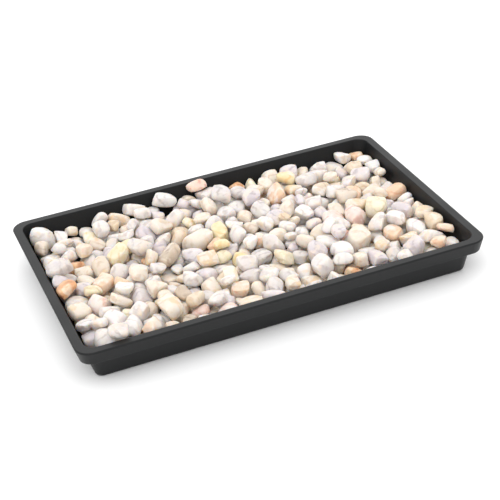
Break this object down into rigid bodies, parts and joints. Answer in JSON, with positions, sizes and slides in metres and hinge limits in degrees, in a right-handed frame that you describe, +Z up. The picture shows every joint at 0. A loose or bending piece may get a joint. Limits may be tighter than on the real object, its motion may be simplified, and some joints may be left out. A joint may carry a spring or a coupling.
{
  "type": "pebble humidity tray",
  "caption": "Shallow rectangular black tray with a turned-down rim, filled with loose tumbled pebbles; water among them keeps the air round a plant pot humid.",
  "frame": {"origin": "middle of the tray's flat base", "axes": "+X along the long side, +Y from the front to the back, +Z up"},
  "size_m": [0.3044, 0.2026, 0.0363],
  "materials": {
    "black_plastic": "satin moulded black plastic with a fine grain",
    "amber_stone": "tumbled stone with a soft waxy sheen",
    "brown_stone": "tumbled stone with a soft waxy sheen",
    "cream_stone": "tumbled stone with a soft waxy sheen",
    "grey_stone": "tumbled stone with a soft waxy sheen",
    "lilac_stone": "tumbled stone with a soft waxy sheen",
    "olive_stone": "tumbled stone with a soft waxy sheen",
    "peach_stone": "tumbled stone with a soft waxy sheen",
    "pink_stone": "tumbled stone with a soft waxy sheen",
    "tan_stone": "tumbled stone with a soft waxy sheen",
    "terracotta_stone": "tumbled stone with a soft waxy sheen",
    "white_stone": "tumbled stone with a soft waxy sheen",
    "yellow_stone": "tumbled stone with a soft waxy sheen"
  },
  "bodies": {
    "tray": {"tray": "black_plastic"},
    "pebble_bed": {"amber_pebbles": "amber_stone", "brown_pebbles": "brown_stone", "cream_pebbles_back_left": "cream_stone", "cream_pebbles_back_mid_left": "cream_stone", "cream_pebbles_back_mid_right": "cream_stone", "cream_pebbles_back_right": "cream_stone", "cream_pebbles_front_left": "cream_stone", "cream_pebbles_front_mid_left": "cream_stone", "cream_pebbles_front_mid_right": "cream_stone", "cream_pebbles_front_right": "cream_stone", "grey_pebbles_back_left": "grey_stone", "grey_pebbles_back_mid_left": "grey_stone", "grey_pebbles_back_mid_right": "grey_stone", "grey_pebbles_back_right": "grey_stone", "grey_pebbles_front_left": "grey_stone", "grey_pebbles_front_mid_left": "grey_stone", "grey_pebbles_front_mid_right": "grey_stone", "grey_pebbles_front_right": "grey_stone", "lilac_pebbles_back_left": "lilac_stone", "lilac_pebbles_back_right": "lilac_stone", "lilac_pebbles_front_left": "lilac_stone", "lilac_pebbles_front_right": "lilac_stone", "olive_pebbles": "olive_stone", "peach_pebbles_left": "peach_stone", "peach_pebbles_right": "peach_stone", "pink_pebbles_left": "pink_stone", "pink_pebbles_right": "pink_stone", "tan_pebbles_left": "tan_stone", "tan_pebbles_right": "tan_stone", "terracotta_pebbles": "terracotta_stone", "white_pebbles_back_left": "white_stone", "white_pebbles_back_mid_left": "white_stone", "white_pebbles_back_mid_right": "white_stone", "white_pebbles_back_right": "white_stone", "white_pebbles_front_left": "white_stone", "white_pebbles_front_mid_left": "white_stone", "white_pebbles_front_mid_right": "white_stone", "white_pebbles_front_right": "white_stone", "yellow_pebbles": "yellow_stone"}
  },
  "joints": [
    {"name": "bed_lift", "type": "slide", "parent": "tray", "child": "pebble_bed", "axis": [0, 0, 1], "range_m": [0, 0.035]}
  ]
}
